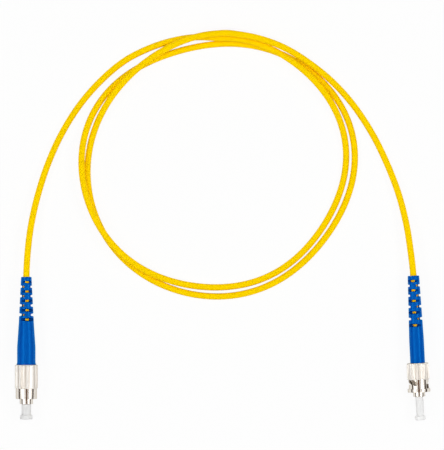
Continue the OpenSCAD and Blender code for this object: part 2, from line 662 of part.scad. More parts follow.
module fc_ferrule_holder() color(nickel) fc_at() difference() {
    turned([[buffer_d / 2 + seat_fit, fc_holder_rear], [fc_holder_tail_r, fc_holder_rear],
        [fc_holder_tail_r, fc_flange_rear], [fc_flange_r, fc_flange_rear], [fc_flange_r, fc_flange_front],
        [ferrule_r + crimp_wall, fc_flange_front], [ferrule_r + crimp_wall, fc_hub_front],
        [ferrule_r, fc_hub_front], [ferrule_r, fc_ferrule_rear],
        [buffer_d / 2 + seat_fit, fc_ferrule_rear]]);
    translate([fc_flange_r - key_notch / 2, -key_notch / 2, fc_flange_rear - 1])
        cube([key_notch, key_notch, fc_flange_len + 2]);
}

module fc_ferrule() color(zirconia) fc_at() ferrule(fc_ferrule_rear, fc_tip);

module fc_guide_tube() color(clear_plastic) fc_at()
    sleeve(buffer_d / 2 + guide_wall, buffer_d / 2 + seat_fit / 2, fc_guide_rear, fc_holder_rear);

module fc_buffer() color(yellow) fc_at()
    sleeve(buffer_d / 2, fibre_bore_r, fc_buffer_rear, fc_ferrule_rear);

module fc_fibre() color(clear_plastic) fc_at()
    translate([0, 0, fc_buffer_rear]) cylinder(d = fibre_d, h = fc_tip - fc_buffer_rear);

module fc_dust_cap() color(clear_plastic) fc_at()
    cap(fc_cap_rear, fc_cap_front, fc_tip, fc_cap_d / 2, fc_cap_flange_d / 2, fc_cap_flange_len);

// ---- ST plug ----
module st_boot() {
    tail_r = st_boot_tail_d / 2;
    front_r = st_boot_front_d / 2;
    color(blue) st_at() difference() {
        turned([[0, 0], [tail_r - edge, 0], [tail_r, edge], [front_r, st_boot_taper_len],
            [front_r, st_boot_len], [0, st_boot_len]]);
        boot_cavity(st_crimp_rear, st_crimp_mid, st_crimp_r, st_crimp_front, st_crimp_r + seat_fit,
            st_boot_len);
        boot_slots(st_slot_growth, boot_turn);
    }
}

module st_crimp_sleeve() color(nickel) st_at()
    crimp(st_crimp_rear, st_crimp_mid, st_crimp_front, st_crimp_r, st_yarn_r + seat_fit);

module st_aramid_yarn() color(aramid) st_at()
    yarn(st_tail_end + face_gap, st_crimp_front - face_gap, st_tail_r + seat_fit, st_yarn_r);

module st_body() {
    keyed_r = st_skirt_r + st_skirt_step;
    keyed_front = st_mouth - st_mouth_len;
    color(nickel) st_at() difference() {
        union() {
            turned([[0, st_tail_end], [st_tail_r, st_tail_end], [st_tail_r, st_tail_front],
                [st_barrel_r, st_tail_front], [st_barrel_r, st_collar_rear],
                [st_collar_d / 2, st_collar_rear], [st_collar_d / 2, st_collar_front],
                [keyed_r, st_collar_front], [keyed_r, keyed_front], [st_skirt_r, keyed_front],
                [st_skirt_r, st_mouth], [0, st_mouth]]);
            translate([-st_key_w / 2, -st_collar_d / 2, st_collar_front - joined])
                cube([st_key_w, (st_collar_d - st_mouth_bore_d) / 2, keyed_front - st_collar_front + joined]);
        }
        translate([0, 0, st_tail_end - 1])
            cylinder(r = st_tail_bore_r, h = st_ferrule_rear - st_tail_end + 2);
        translate([0, 0, st_ferrule_rear]) cylinder(r = ferrule_r, h = st_mouth - st_ferrule_rear + 1);
        translate([0, 0, st_mouth_bore_end]) cylinder(d = st_mouth_bore_d, h = st_mouth_bore_len + 1);
        sleeve(st_barrel_r + 1, st_groove_r, st_clip_rear - seat_fit, st_clip_front + seat_fit);
        tail_grooves(st_tail_r, st_tail_end, st_tail_front);
    }
}

// One of the two bayonet slots, cut from the front rim back to the resting pocket
module bayonet_slot() {
    half_w = st_slot_w / 2;
    in_r = st_bore_r - 0.4;
    out_r = st_sleeve_d / 2 + edge;
    track = st_sleeve_start + half_w + face_gap;
    pocket = 90 + st_pocket_angle;
    entry = pocket + st_lock_turn;
    ramp = 35;
    ramp_start = -out_r * sin(ramp / 2) - edge;
    ramp_bend = joined - in_r * sin(ramp / 2);
    ramp_end = in_r * sin(ramp / 2) + half_w;
    rotate([0, 0, pocket]) translate([in_r, 0, track + st_pocket_depth]) rotate([0, 90, 0])
        cylinder(r = half_w + joined / 2, h = far);
    rotate([0, 0, pocket]) rotate_extrude(angle = st_lock_turn - ramp)
        translate([in_r, track - half_w]) square([out_r - in_r, st_slot_w]);
    rotate([0, 0, entry - ramp / 2]) translate([in_r, 0, 0]) rotate([90, 0, 90])
        linear_extrude(out_r - in_r) polygon([[ramp_start, track - half_w + joined / 2],
            [ramp_start, track + half_w - joined], [ramp_end - st_slot_w, st_rim_start + joined],
            [ramp_end, st_rim_start + joined], [ramp_end, st_rim_start - st_slot_w - joined],
            [ramp_bend, track - half_w + joined / 2]]);
    rotate([0, 0, entry]) translate([in_r, -half_w, st_rim_start - st_slot_w])
        cube([out_r - in_r - edge + joined, st_slot_w, st_slot_w + st_rim_len + 1]);
}

module st_bayonet_nut() {
    r = st_nut_d / 2;
    rim_r = st_rim_d / 2;
    rim_edge = 0.2;
    color(nickel) st_at() difference() {
        union() {
            intersection() {
                translate([0, 0, st_nut_rear]) linear_extrude(st_grip_len) difference() {
                    circle(r);
                    for (i = [0:st_flutes - 1]) rotate((i + 0.5) * 360 / st_flutes)
                        translate([r, 0]) circle(st_flute_r, $fn = 16);
                }
                turned([[0, st_nut_rear], [r - nut_chamfer, st_nut_rear], [r, st_nut_rear + nut_chamfer],
                    [r, st_sleeve_start - nut_chamfer], [r - nut_chamfer, st_sleeve_start],
                    [0, st_sleeve_start]]);
            }
            turned([[0, st_sleeve_start - 1], [st_sleeve_d / 2, st_sleeve_start - 1],
                [st_sleeve_d / 2, st_rim_start], [rim_r - rim_edge, st_rim_start],
                [rim_r, st_rim_start + rim_edge], [rim_r, st_nut_front - rim_edge],
                [rim_r - rim_edge, st_nut_front], [0, st_nut_front]]);
        }
        turned([[0, st_nut_rear - 1], [st_recess_r, st_nut_rear - 1], [st_recess_r, st_lip_rear],
            [st_slide_r, st_lip_rear], [st_slide_r, st_lip_front], [st_bore_r, st_lip_front],
            [st_bore_r, st_nut_front + 1], [0, st_nut_front + 1]]);
        for (side = [0, 180]) rotate([0, 0, side]) bayonet_slot();
    }
}

module st_spring() color(steel) st_at()
    spring(st_spring_r, st_wire_d, st_washer_front + seat_fit, st_collar_rear - seat_fit, st_curls);

module st_thrust_washer() color(steel) st_at()
    sleeve(st_washer_r, st_slide_r, st_lip_front + face_gap, st_washer_front);

module st_retaining_clip() color(steel) st_at() difference() {
    sleeve(st_clip_d / 2, st_groove_r + seat_fit, st_clip_rear, st_clip_front);
    translate([0, -st_groove_r, st_clip_rear - 1]) cube([far, 2 * st_groove_r, st_clip_t + 2]);
}

module st_ferrule() color(zirconia) st_at() ferrule(st_ferrule_rear, st_tip);

module st_buffer() color(yellow) st_at()
    sleeve(buffer_d / 2, fibre_bore_r, st_jacket_end, st_ferrule_rear);

module st_fibre() color(clear_plastic) st_at()
    translate([0, 0, st_jacket_end]) cylinder(d = fibre_d, h = st_tip - st_jacket_end);

module st_dust_cap() color(clear_plastic) st_at()
    cap(st_cap_rear, st_cap_front, st_tip, st_cap_d / 2, st_cap_flange_d / 2, st_cap_flange_len);

cable_fc_lead();
cable_coil();
cable_st_lead();
fc_boot();
fc_crimp_sleeve();
fc_aramid_yarn();
fc_back_body();
fc_plug_frame();
fc_coupling_nut();
fc_spring();
fc_ferrule_holder();
fc_ferrule();
fc_guide_tube();
fc_buffer();
fc_fibre();
fc_dust_cap();
st_boot();
st_crimp_sleeve();
st_aramid_yarn();
st_body();
st_bayonet_nut();
st_spring();
st_thrust_washer();
st_retaining_clip();
st_ferrule();
st_buffer();
st_fibre();
st_dust_cap();
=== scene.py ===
"""A simplex fibre optic patch cord: yellow cable in loose loops, an FC plug and an ST plug.

The turned and moulded pieces are drawn in millimetres along their own plug's axis, as they are
made, and then put in place in metres. Stations count from the tail of a boot (0) to the dust cap.
"""

import json
import math

import bmesh
import bpy
from mathutils import Matrix, Vector


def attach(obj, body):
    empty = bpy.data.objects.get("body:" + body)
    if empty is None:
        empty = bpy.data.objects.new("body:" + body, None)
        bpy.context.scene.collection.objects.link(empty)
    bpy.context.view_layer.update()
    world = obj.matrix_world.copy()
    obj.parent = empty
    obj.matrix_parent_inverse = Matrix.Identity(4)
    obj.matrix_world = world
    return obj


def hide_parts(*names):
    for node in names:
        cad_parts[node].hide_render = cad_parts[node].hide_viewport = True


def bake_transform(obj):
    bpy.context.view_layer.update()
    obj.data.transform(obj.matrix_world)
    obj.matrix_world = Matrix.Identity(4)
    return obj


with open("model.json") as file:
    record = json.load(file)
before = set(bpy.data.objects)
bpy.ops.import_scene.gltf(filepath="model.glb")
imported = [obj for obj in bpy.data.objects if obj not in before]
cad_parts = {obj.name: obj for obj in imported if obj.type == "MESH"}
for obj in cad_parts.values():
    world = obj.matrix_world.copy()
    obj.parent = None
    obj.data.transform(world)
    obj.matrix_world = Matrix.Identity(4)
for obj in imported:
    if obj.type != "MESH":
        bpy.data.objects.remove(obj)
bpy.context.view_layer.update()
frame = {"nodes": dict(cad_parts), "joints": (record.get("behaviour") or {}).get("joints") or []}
scene = bpy.context.scene
scene.view_settings.view_transform = "Standard"

# ---- Camera ----
# It looks straight down on the cord with +Y up in the picture.
# The lens is long, so that the loops and the plugs keep their plan shapes.
picture_height = 450
pixels_per_mm = 2.28
camera_distance = 1.6
view_centre = Vector((-0.00028, 0.05382, 0.003))

camera_data = bpy.data.cameras.new("camera")
picture_metres = picture_height / pixels_per_mm / 1000
camera_data.lens = camera_data.sensor_width * camera_distance / picture_metres
camera = bpy.data.objects.new("camera", camera_data)
scene.collection.objects.link(camera)
camera.location = view_centre + Vector((0, 0, camera_distance))
scene.camera = camera

# ---- Cable ----
# One 2.8 mm PVC jacket over aramid yarn and a tight buffer, from crimp to crimp.
# It leaves the tail of each boot, comes down to the table and lies there in two loose loops.
cable_r = 0.0014
pass_gap = 0.0005
loop_centre = Vector((-0.0018, 0.07998))
loop_r = 0.0556
loop_spread = 0.0019
loop_end = 720
loop_step = 2
steer_angle = 15
fc_jacket_end = 25.0
st_jacket_end = 27.3
cable_sides = 24

# Waves in two loops, reach in metres, angle of a crest
LOOP_WAVES = [
    (1, 0.00085, 449), (2, 0.00035, 254), (3, 0.0013, 22), (4, 0.0019, 71), (5, 0.0009, 140),
    (6, 0.0004, 54), (7, 0.00025, 98), (8, 0.00025, 82), (9, 0.00015, 66), (10, 0.0003, 9),
]
# Where the cable passes over itself: middle angle, half of the flat, ramp, height in passes
LOOP_HUMPS = [(28, 16, 40, 1), (243, 22, 36, 1), (704, 28, 36, 1), (733, 12, 30, 0.8)]
# Free leads from the boots to the loops
FC_LEAD = [
    (-0.0853, 0.043, 0.0049), (-0.0838, 0.0545, 0.0043), (-0.081, 0.067, 0.0032),
    (-0.0768, 0.0802, 0.0022), (-0.0709, 0.0934, 0.0017), (-0.0631, 0.106, 0.0015),
    (-0.0536, 0.117, 0.0015), (-0.043, 0.1259, 0.0015), (-0.032, 0.1315, 0.0015),
    (-0.022, 0.1347, 0.0016), (-0.012, 0.1362, 0.0025),
]
ST_LEAD = [
    (0.0823, 0.0428, 0.0049), (0.0804, 0.0548, 0.004), (0.077, 0.068, 0.0028),
    (0.0718, 0.0815, 0.0019), (0.0656, 0.094, 0.0015), (0.0577, 0.106, 0.0016),
    (0.0488, 0.116, 0.0025), (0.039, 0.1241, 0.0037), (0.0283, 0.1308, 0.0059),
    (0.0176, 0.135, 0.0072), (0.007, 0.1372, 0.0074),
]


def plug_place(joint_name):
    """Turns millimetres on a plug's own axis, z forward and y up, into metres in the frame."""
    joint = next(j for j in frame["joints"] if j["name"] == joint_name)
    joint_station = 0.045
    forward = Vector(joint["axis"]).normalized()
    up = Vector((0, 0, 1))
    origin = Vector(joint["pos_m"]) - forward * joint_station
    turn = Matrix((up.cross(forward), up, forward)).transposed().to_4x4()
    return Matrix.Translation(origin) @ turn @ Matrix.Scale(0.001, 4)


fc_place = plug_place("fc_nut_turn")
st_place = plug_place("st_nut_turn")


def on_axis(place, station):
    """The point of the frame at a station on a plug's axis."""
    return place @ Vector((0, 0, station))


def ease(t):
    """A smooth step from 0 to 1."""
    t = max(0.0, min(1.0, t))
    return t * t * (3 - 2 * t)


def loop_point(angle):
    """A point of the loops; angles run clockwise from +Y and count on from loop to loop."""
    reach = loop_r + loop_spread * angle / loop_end
    reach += sum(size * math.cos(math.radians(count * (angle - crest) / 2))
                 for count, size, crest in LOOP_WAVES)
    lift = sum(high * ease(1 - max(0, abs(angle - middle) - flat) / ramp)
               for middle, flat, ramp, high in LOOP_HUMPS)
    way = math.radians(angle)
    return Vector((loop_centre.x + reach * math.sin(way), loop_centre.y + reach * math.cos(way),
                   cable_r + (2 * cable_r + pass_gap) * lift))


def smooth_route(points, steps):
    """Catmull-Rom points through a route; the first and the last point only steer."""
    points = [Vector(p) for p in points]
    line = []
    for a, b, c, d in zip(points, points[1:], points[2:], points[3:]):
        for step in range(steps):
            t = step / steps
            line.append((2 * b + (c - a) * t + (2 * a - 5 * b + 4 * c - d) * t * t
                         + (3 * b - a - 3 * c + d) * t ** 3) / 2)
    return line + [points[-2]]


def lead_route(place, jacket_end, lead, loop_angle, loop_before):
    """From the end of the jacket in a crimp out through the boot and along a lead to the loops."""
    inside = [on_axis(place, s) for s in (1.5 * jacket_end, jacket_end, jacket_end / 2, 0)]
    onto_loop = [loop_point(loop_angle), loop_point(loop_before)]
    return smooth_route(inside + lead + onto_loop, steps=8)


fc_side = lead_route(fc_place, fc_jacket_end, FC_LEAD, 0, steer_angle)
st_side = lead_route(st_place, st_jacket_end, ST_LEAD, loop_end, loop_end - steer_angle)
loops = [loop_point(angle) for angle in range(loop_step, loop_end, loop_step)]
cable_line = fc_side + loops + st_side[::-1]


def cable_tube(name, line, radius, sides):
    """A tube round a line, closed at both ends, with a UV map of once round and its length."""
    up = Vector((0, 0, 1))
    corners = []
    for i, point in enumerate(line):
        way = (line[min(i + 1, len(line) - 1)] - line[max(i - 1, 0)]).normalized()
        side = way.cross(up).normalized()
        over = side.cross(way)
        for k in range(sides):
            turn = math.tau * k / sides
            corners.append(point - radius * (math.cos(turn) * over + math.sin(turn) * side))
    faces = [(a + k, a + (k + 1) % sides, a + sides + (k + 1) % sides, a + sides + k)
             for a in range(0, len(corners) - sides, sides) for k in range(sides)]
    ends = [tuple(range(sides))[::-1], tuple(range(len(corners) - sides, len(corners)))]
    mesh = bpy.data.meshes.new(name)
    mesh.from_pydata(corners, [], faces + ends)
    lengths = [0.0]
    for before, after in zip(line, line[1:]):
        lengths.append(lengths[-1] + (after - before).length)
    uv = mesh.uv_layers.new(name="along").data
    for face in mesh.polygons:
        for loop in face.loop_indices:
            ring, k = divmod(mesh.loops[loop].vertex_index, sides)
            wraps = k == 0 and any(mesh.loops[i].vertex_index % sides == sides - 1
                                   for i in face.loop_indices)
            uv[loop].uv = (1 if wraps else k / sides, lengths[ring] / lengths[-1])
    mesh.polygons.foreach_set("use_smooth", [len(f.vertices) == 4 for f in mesh.polygons])
    tube = bpy.data.objects.new(name, mesh)
    scene.collection.objects.link(tube)
    return tube, lengths[-1]


# A rough, barely refracting coat whose tint deepens a plastic's colour towards its edges
edge_coat = {"Coat_Weight": 1.0, "Coat_Roughness": 0.8, "Coat_IOR": 1.05}


def new_finish(name, **sockets):
    """A material with one Principled shader, whose constant sockets are set here."""
    finish = bpy.data.materials.new(name)
    finish.use_nodes = True
    tree = finish.node_tree
    shader = tree.nodes["Principled BSDF"]
    for socket, value in sockets.items():
        shader.inputs[socket.replace("_", " ")].default_value = value
    return finish, tree, shader


def add_node(tree, kind, wires=None, options=None, **sockets):
    """A shader node with its options and values set, wired from {input name: output socket}."""
    made = tree.nodes.new("ShaderNode" + kind)
    for option, value in (options or {}).items():
        setattr(made, option, value)
    for socket, value in sockets.items():
        made.inputs[socket.replace("_", " ")].default_value = value
    for socket, source in (wires or {}).items():
        tree.links.new(source, made.inputs[socket])
    return made


def grain(tree, size, turn_z=0.0, along="Object", detail=2):
    """A noise whose grains have this size in metres on each axis, or as shares of a UV map."""
    place = add_node(tree, "TexCoord")
    mapping = add_node(tree, "Mapping", {"Vector": place.outputs[along]},
                       {"vector_type": "TEXTURE"}, Scale=size, Rotation=(0, 0, turn_z))
    noise = add_node(tree, "TexNoise", {"Vector": mapping.outputs["Vector"]}, Scale=1.0,
                     Detail=detail)
    return noise.outputs["Fac"]


def tint(tree, factor, dark, light, low=0.3, high=0.7):
    """A colour that moves from dark to light as a texture's factor moves from low to high."""
    ramp = add_node(tree, "ValToRGB", {"Fac": factor})
    ramp.color_ramp.elements[0].position = low
    ramp.color_ramp.elements[0].color = (*dark, 1)
    ramp.color_ramp.elements[1].position = high
    ramp.color_ramp.elements[1].color = (*light, 1)
    return ramp.outputs["Color"]


def level(tree, factor, low, high):
    """A number that moves from low to high as a texture's factor moves from 0 to 1."""
    spread = add_node(tree, "MapRange", {"Value": factor}, To_Min=low, To_Max=high)
    return spread.outputs["Result"]


def under_boot(tree, whole_length):
    """0 along the open cable and 1 on the two lengths that the boots cover."""
    uv = add_node(tree, "TexCoord").outputs["UV"]
    along = add_node(tree, "SeparateXYZ", {"Vector": uv}).outputs["Y"]
    ramp = add_node(tree, "ValToRGB", {"Fac": along})
    fc_share = fc_jacket_end / 1000 / whole_length
    st_share = st_jacket_end / 1000 / whole_length
    fade = 0.0015
    stops = ramp.color_ramp.elements
    stops[0].position = fc_share - fade
    stops[1].position = fc_share
    stops.new(1 - st_share)
    stops.new(1 - st_share + fade)
    for stop, tone in zip(stops, (1, 0, 0, 1)):
        stop.color = (tone, tone, tone, 1)
    return ramp.outputs["Color"]


def cable_jacket(whole_length):
    """Extruded PVC: satin yellow, with faint draw lines along it, and a more orange painted shade
    under the boots.
    """
    finish, tree, shader = new_finish(
        "yellow_jacket", Specular_IOR_Level=0.12, Specular_Tint=(1.0, 0.75, 0.05, 1),
        Coat_Tint=(0.995, 0.93, 0.5, 1), **edge_coat)
    open_tone = tint(tree, grain(tree, (0.004, 0.004, 0.004)), (0.965, 0.685, 0.0),
                     (0.985, 0.715, 0.0))
    # Under the boots the yellow turns orange: painted shade where the cable shows in the slots
    boot_shade_paint = add_node(tree, "Mix", {0: under_boot(tree, whole_length), "A": open_tone},
                      {"data_type": "RGBA"})
    boot_shade_paint.inputs["B"].default_value = (1.0, 0.57, 0.01, 1)
    tree.links.new(boot_shade_paint.outputs["Result"], shader.inputs["Base Color"])
    draw_lines = grain(tree, (0.035, 0.3, 1), along="UV", detail=3)
    tree.links.new(level(tree, draw_lines, 0.3, 0.46), shader.inputs["Roughness"])
    lines = add_node(tree, "Bump", {"Height": draw_lines}, Strength=0.15, Distance=0.00004)
    skin = add_node(tree, "Bump", {"Height": grain(tree, (0.0007, 0.0007, 0.0007)),
                                   "Normal": lines.outputs["Normal"]},
                    Strength=0.1, Distance=0.00002)
    tree.links.new(skin.outputs["Normal"], shader.inputs["Normal"])
    return finish


cable, cable_length = cable_tube("cable", cable_line, cable_r, cable_sides)
cable.data.materials.append(cable_jacket(cable_length))
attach(cable, "cord")
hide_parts("cable_fc_lead", "cable_coil", "cable_st_lead")

# ---- Table and light ----
# A white table top that keeps a faint shadow, in a white room that is brighter low down.
# Long boxes at both sides light the cord, and a lamp overhead that nothing reflects.
# Brown and black cards are seen only in reflections, as the stripes of the metal.
table_size = 6.0
under_cord = -0.00002
wall_top = 0.25
wall_light = 2.0
ceiling_light = 0.21
side_box_size = (0.3, 1.0)
over_box_size = (0.8, 0.8)


def select_none():
    bpy.ops.object.select_all(action="DESELECT")


def white_to_eye(tree, strength):
    """Strength where the camera looks, also through or in a surface, and 0 for the light itself."""
    path = add_node(tree, "LightPath")
    seen = path.outputs["Is Camera Ray"]
    for kind in ("Is Glossy Ray", "Is Transmission Ray"):
        both = add_node(tree, "Math", {0: seen, 1: path.outputs[kind]}, {"operation": "MAXIMUM"})
        seen = both.outputs["Value"]
    return level(tree, seen, 0.0, strength)


def table_top():
    """Matt white laminate, mostly lit from itself where it is looked at, so that it stays white."""
    finish, tree, shader = new_finish("white_table", Base_Color=(0.9, 0.9, 0.9, 1), Roughness=1.0,
                                      Specular_IOR_Level=0.0)
    glow = add_node(tree, "Emission", Strength=1.0)
    mixed = add_node(tree, "MixShader", {"Fac": white_to_eye(tree, 0.9),
                                         1: shader.outputs["BSDF"], 2: glow.outputs["Emission"]})
    tree.links.new(mixed.outputs["Shader"], tree.nodes["Material Output"].inputs["Surface"])
    return finish


def leaned(place):
    """The lean of a flat thing that faces the middle of the cord from the left or the right."""
    return 0, math.atan2(place[0] - view_centre.x, place[2] - view_centre.z), 0


def soft_box(name, place, lean, size, power):
    """A rectangular lamp over the table, as wide and as long as its size says."""
    lamp = bpy.data.lights.new(name, "AREA")
    lamp.shape = "RECTANGLE"
    lamp.size, lamp.size_y = size
    lamp.energy = power
    holder = bpy.data.objects.new(name, lamp)
    scene.collection.objects.link(holder)
    holder.location = place
    holder.rotation_euler = lean
    return holder


def dark_card(name, place, width, length, finish):
    """A card that only reflections see, facing the middle of the cord."""
    select_none()
    bpy.ops.mesh.primitive_plane_add(size=1, location=place, rotation=leaned(place))
    card = bpy.context.object
    card.name = name
    card.scale = (width, length, 1)
    card.visible_camera = card.visible_diffuse = card.visible_shadow = False
    card.data.materials.append(finish)


select_none()
bpy.ops.mesh.primitive_plane_add(size=table_size,
                                 location=(view_centre.x, view_centre.y, under_cord))
table = bpy.context.object
table.name = "table"
table.data.materials.append(table_top())

world = bpy.data.worlds.new("white_room")
world.use_nodes = True
scene.world = world
room = world.node_tree
room_light = room.nodes["Background"]
room_light.inputs["Color"].default_value = (1, 1, 1, 1)
direction = add_node(room, "TexCoord").outputs["Generated"]
way_up = add_node(room, "SeparateXYZ", {"Vector": direction})
walls = add_node(room, "MapRange", {"Value": way_up.outputs["Z"]}, From_Max=wall_top,
                 To_Min=wall_light, To_Max=ceiling_light)
room_seen = add_node(room, "MapRange", {"Value": white_to_eye(room, 1.0),
                                        "To Min": walls.outputs["Result"]}, To_Max=1.0)
room.links.new(room_seen.outputs["Result"], room_light.inputs["Strength"])

left_place = (-0.62, 0.03, 0.75)
right_place = (0.66, 0.03, 0.75)
soft_box("left_box", left_place, leaned(left_place), side_box_size, power=2.44)
soft_box("right_box", right_place, leaned(right_place), side_box_size, power=2.94)
over_box = soft_box("over_box", (0, view_centre.y, 1.3), (0, 0, 0), over_box_size, power=7.3)
over_box.visible_glossy = False

brown_card = new_finish("brown_card", Base_Color=(0.21, 0.1, 0.055, 1), Roughness=1.0)[0]
black_card = new_finish("black_card", Base_Color=(0.08, 0.045, 0.03, 1), Roughness=1.0)[0]
dark_card("card_over", (0.04, 0.03, 1.1), width=0.4, length=2.6, finish=brown_card)
dark_card("card_left", (-1.2, 0.03, 0.18), width=0.44, length=4.0, finish=black_card)
dark_card("card_right", (1.1, 0.03, 0.19), width=0.44, length=4.0, finish=black_card)
dark_card("card_between", (0.5, 0.03, 0.95), width=0.1, length=2.6, finish=brown_card)

# ---- Boots ----
# Soft blue elastomer, moulded in one shot and pushed on over the crimp and the cable.
# Pairs of wedge slots, turned a quarter from pair to pair, are cut across the tapered tail, where
# the real boot bends.
boot_turn = math.radians(20)
slot_floor = 1.27
slot_width = 0.7
slot_flare = 0.2
slot_first = 2.25
slot_pitch = 4.1
slot_count = 5
st_pitch_growth = 0.5
boot_bore_r = 1.55
crimp_grip_bore_r = 1.82


def finish_shell():
    """Merges what meets and turns all faces outwards, then leaves edit mode."""
    bpy.ops.mesh.select_all(action="SELECT")
    bpy.ops.mesh.remove_doubles(threshold=0.0001)
    bpy.ops.mesh.normals_make_consistent(inside=False)
    bpy.ops.object.mode_set(mode="OBJECT")


def pick(piece, test):
    """Selects the vertices, in edit mode, whose place passes the test."""
    mesh = bmesh.from_edit_mesh(piece.data)
    bpy.ops.mesh.select_all(action="DESELECT")
    bpy.ops.mesh.select_mode(type="VERT")
    for vertex in mesh.verts:
        vertex.select = test(vertex.co)
    mesh.select_flush(True)
    bmesh.update_edit_mesh(piece.data)


def turned(name, outline, sides=96, solid=False):
    """A turned piece, ring by ring of (radius, station). A solid one is closed at both ends.

    Otherwise the outline runs round the section and meets its own start, round a bore.
    """
    select_none()
    radius, station = outline[0]
    bpy.ops.mesh.primitive_circle_add(vertices=sides, radius=radius,
                                      fill_type="NGON" if solid else "NOTHING")
    piece = bpy.context.object
    piece.name = piece.data.name = name
    bpy.ops.object.mode_set(mode="EDIT")
    bpy.ops.mesh.select_all(action="SELECT")
    bpy.ops.transform.translate(value=(0, 0, station))
    for next_radius, next_station in outline[1:] + ([] if solid else outline[:1]):
        bpy.ops.mesh.extrude_region_move(
            TRANSFORM_OT_translate={"value": (0, 0, next_station - station)})
        grow = next_radius / radius
        bpy.ops.transform.resize(value=(grow, grow, 1), center_override=(0, 0, next_station))
        radius, station = next_radius, next_station
    finish_shell()
    return piece


def apply_modifier(piece, kind, **options):
    """Adds a modifier with its options and applies it at once."""
    select_none()
    piece.select_set(True)
    bpy.context.view_layer.objects.active = piece
    made = piece.modifiers.new(kind.lower(), kind)
    for option, value in options.items():
        setattr(made, option, value)
    bpy.ops.object.modifier_apply(modifier=made.name)


def join(pieces):
    """Joins pieces into the first of them."""
    select_none()
    for piece in pieces:
        piece.select_set(True)
    bpy.context.view_layer.objects.active = pieces[0]
    bpy.ops.object.join()
    return pieces[0]


def copy_of(piece, turn=0.0, rise=0.0):
    """A copy with its own mesh, turned about the plug's axis and moved along it."""
    twin = piece.copy()
    twin.data = piece.data.copy()
    twin.data.transform(Matrix.Translation((0, 0, rise)) @ Matrix.Rotation(turn, 4, "Z"))
    scene.collection.objects.link(twin)
    return twin


def combine(piece, tool, operation="DIFFERENCE"):
    """Cuts, adds or keeps what a tool shape covers, and takes the tool away."""
    apply_modifier(piece, "BOOLEAN", operation=operation, solver="EXACT", object=tool)
    bpy.data.objects.remove(tool)


def settle(piece, place, finishes, slot_name, body, *nodes, angle=30):
    """Puts a finished piece in its place in the frame, with its finishes, body and CAD nodes.

    The first finish covers it, and the others wait for faces that already carry their number.
    """
    piece.data.transform(place)
    select_none()
    piece.select_set(True)
    bpy.context.view_layer.objects.active = piece
    bpy.ops.object.shade_smooth_by_angle(angle=math.radians(angle))
    for place_in_list, finish in enumerate(finishes):
        if place_in_list < len(piece.data.materials):
            piece.data.materials[place_in_list] = finish
        else:
            piece.data.materials.append(finish)
    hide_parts(*nodes)
    if body:
        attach(piece, body)


def slot_cutter():
    """One wedge across a boot: flat at the floor of the slot and wider outwards."""
    reach = 4.2
    select_none()
    bpy.ops.mesh.primitive_cube_add(size=1)
    wedge = bpy.context.object
    bpy.ops.object.mode_set(mode="EDIT")
    bpy.ops.transform.resize(value=(2 * reach, reach - slot_floor, slot_width))
    bpy.ops.transform.translate(value=(0, (reach + slot_floor) / 2, 0))
    pick(wedge, lambda place: place.y > reach - 0.01)
    wider = 1 + 2 * slot_flare * (reach - slot_floor) / slot_width
    bpy.ops.transform.resize(value=(1, 1, wider), center_override=(0, reach, 0))
    bpy.ops.object.mode_set(mode="OBJECT")
    return wedge


def flex_slots(growth, turn):
    """All slots of one boot: five pairs above and below, and four pairs at the sides between."""
    heights = [slot_first + slot_pitch * k + growth * k * (k - 1) / 2 for k in range(slot_count)]
    between = [(a + b) / 2 for a, b in zip(heights, heights[1:])]
    wedge = slot_cutter()
    cuts = [copy_of(wedge, turn + side, height) for height in heights for side in (0, math.pi)]
    cuts += [copy_of(wedge, turn + side + math.pi / 2, height)
             for height in between for side in (0, math.pi)]
    bpy.data.objects.remove(wedge)
    return join(cuts)


def boot_elastomer(name, dark, light, gloss):
    """Satin blue elastomer with a fine mould grain and a faint lengthwise drag from the mould."""
    finish, tree, shader = new_finish(
        name, Specular_IOR_Level=gloss, Specular_Tint=(0.05, 0.55, 1.0, 1),
        Coat_Tint=(0.3, 0.86, 0.97, 1), **edge_coat)
    tree.links.new(tint(tree, grain(tree, (0.0038, 0.0038, 0.0038), detail=4), dark, light),
                   shader.inputs["Base Color"])
    drag = grain(tree, (0.0006, 0.008, 0.0006), detail=3)
    tree.links.new(level(tree, drag, 0.16, 0.3), shader.inputs["Roughness"])
    coarse = add_node(tree, "Bump", {"Height": drag}, Strength=0.15, Distance=0.00002)
    fine = add_node(tree, "Bump", {"Height": grain(tree, (0.0002, 0.0002, 0.0002)),
                                   "Normal": coarse.outputs["Normal"]},
                    Strength=0.3, Distance=0.00001)
    tree.links.new(fine.outputs["Normal"], shader.inputs["Normal"])
    return finish


def cut_slots(boot, growth, turn):
    """Cuts the flex slots, whose walls take the second finish, a darker blue of painted shade; each
    pitch grows by as much.
    """
    cuts = flex_slots(growth, turn)
    for piece in (boot, cuts):
        for finish in boot_finishes:
            piece.data.materials.append(finish)
    cuts.data.polygons.foreach_set("material_index", [1] * len(cuts.data.polygons))
    combine(boot, cuts)


boot_finishes = [
    boot_elastomer("blue_elastomer", (0.0, 0.075, 0.39), (0.0, 0.09, 0.44), gloss=0.7),
    # The slot walls are a darker, matt blue: painted shade in the slots
    boot_elastomer("painted_shade_slot_wall", (0.0, 0.04, 0.21), (0.0, 0.05, 0.25), gloss=0.05),
]

fc_boot = turned("fc_boot_moulded", [
    (2.05, 0), (2.22, 0.07), (2.3, 0.25), (3.26, 19.2), (3.29, 20.0), (3.98, 30.0), (4.025, 31.0),
    (4.025, 37.4), (4.1, 37.8), (4.25, 38.15), (4.25, 38.33), (4.18, 38.4), (3.12, 38.4),
    (3.12, 34.5), (2.61, 34.5), (2.61, 26.6), (crimp_grip_bore_r, 25.6),
    (crimp_grip_bore_r, 20.1), (boot_bore_r, 20.1), (boot_bore_r, 0)])
cut_slots(fc_boot, 0, -boot_turn)
settle(fc_boot, fc_place, boot_finishes, "boot", "cord", "fc_boot", angle=28)

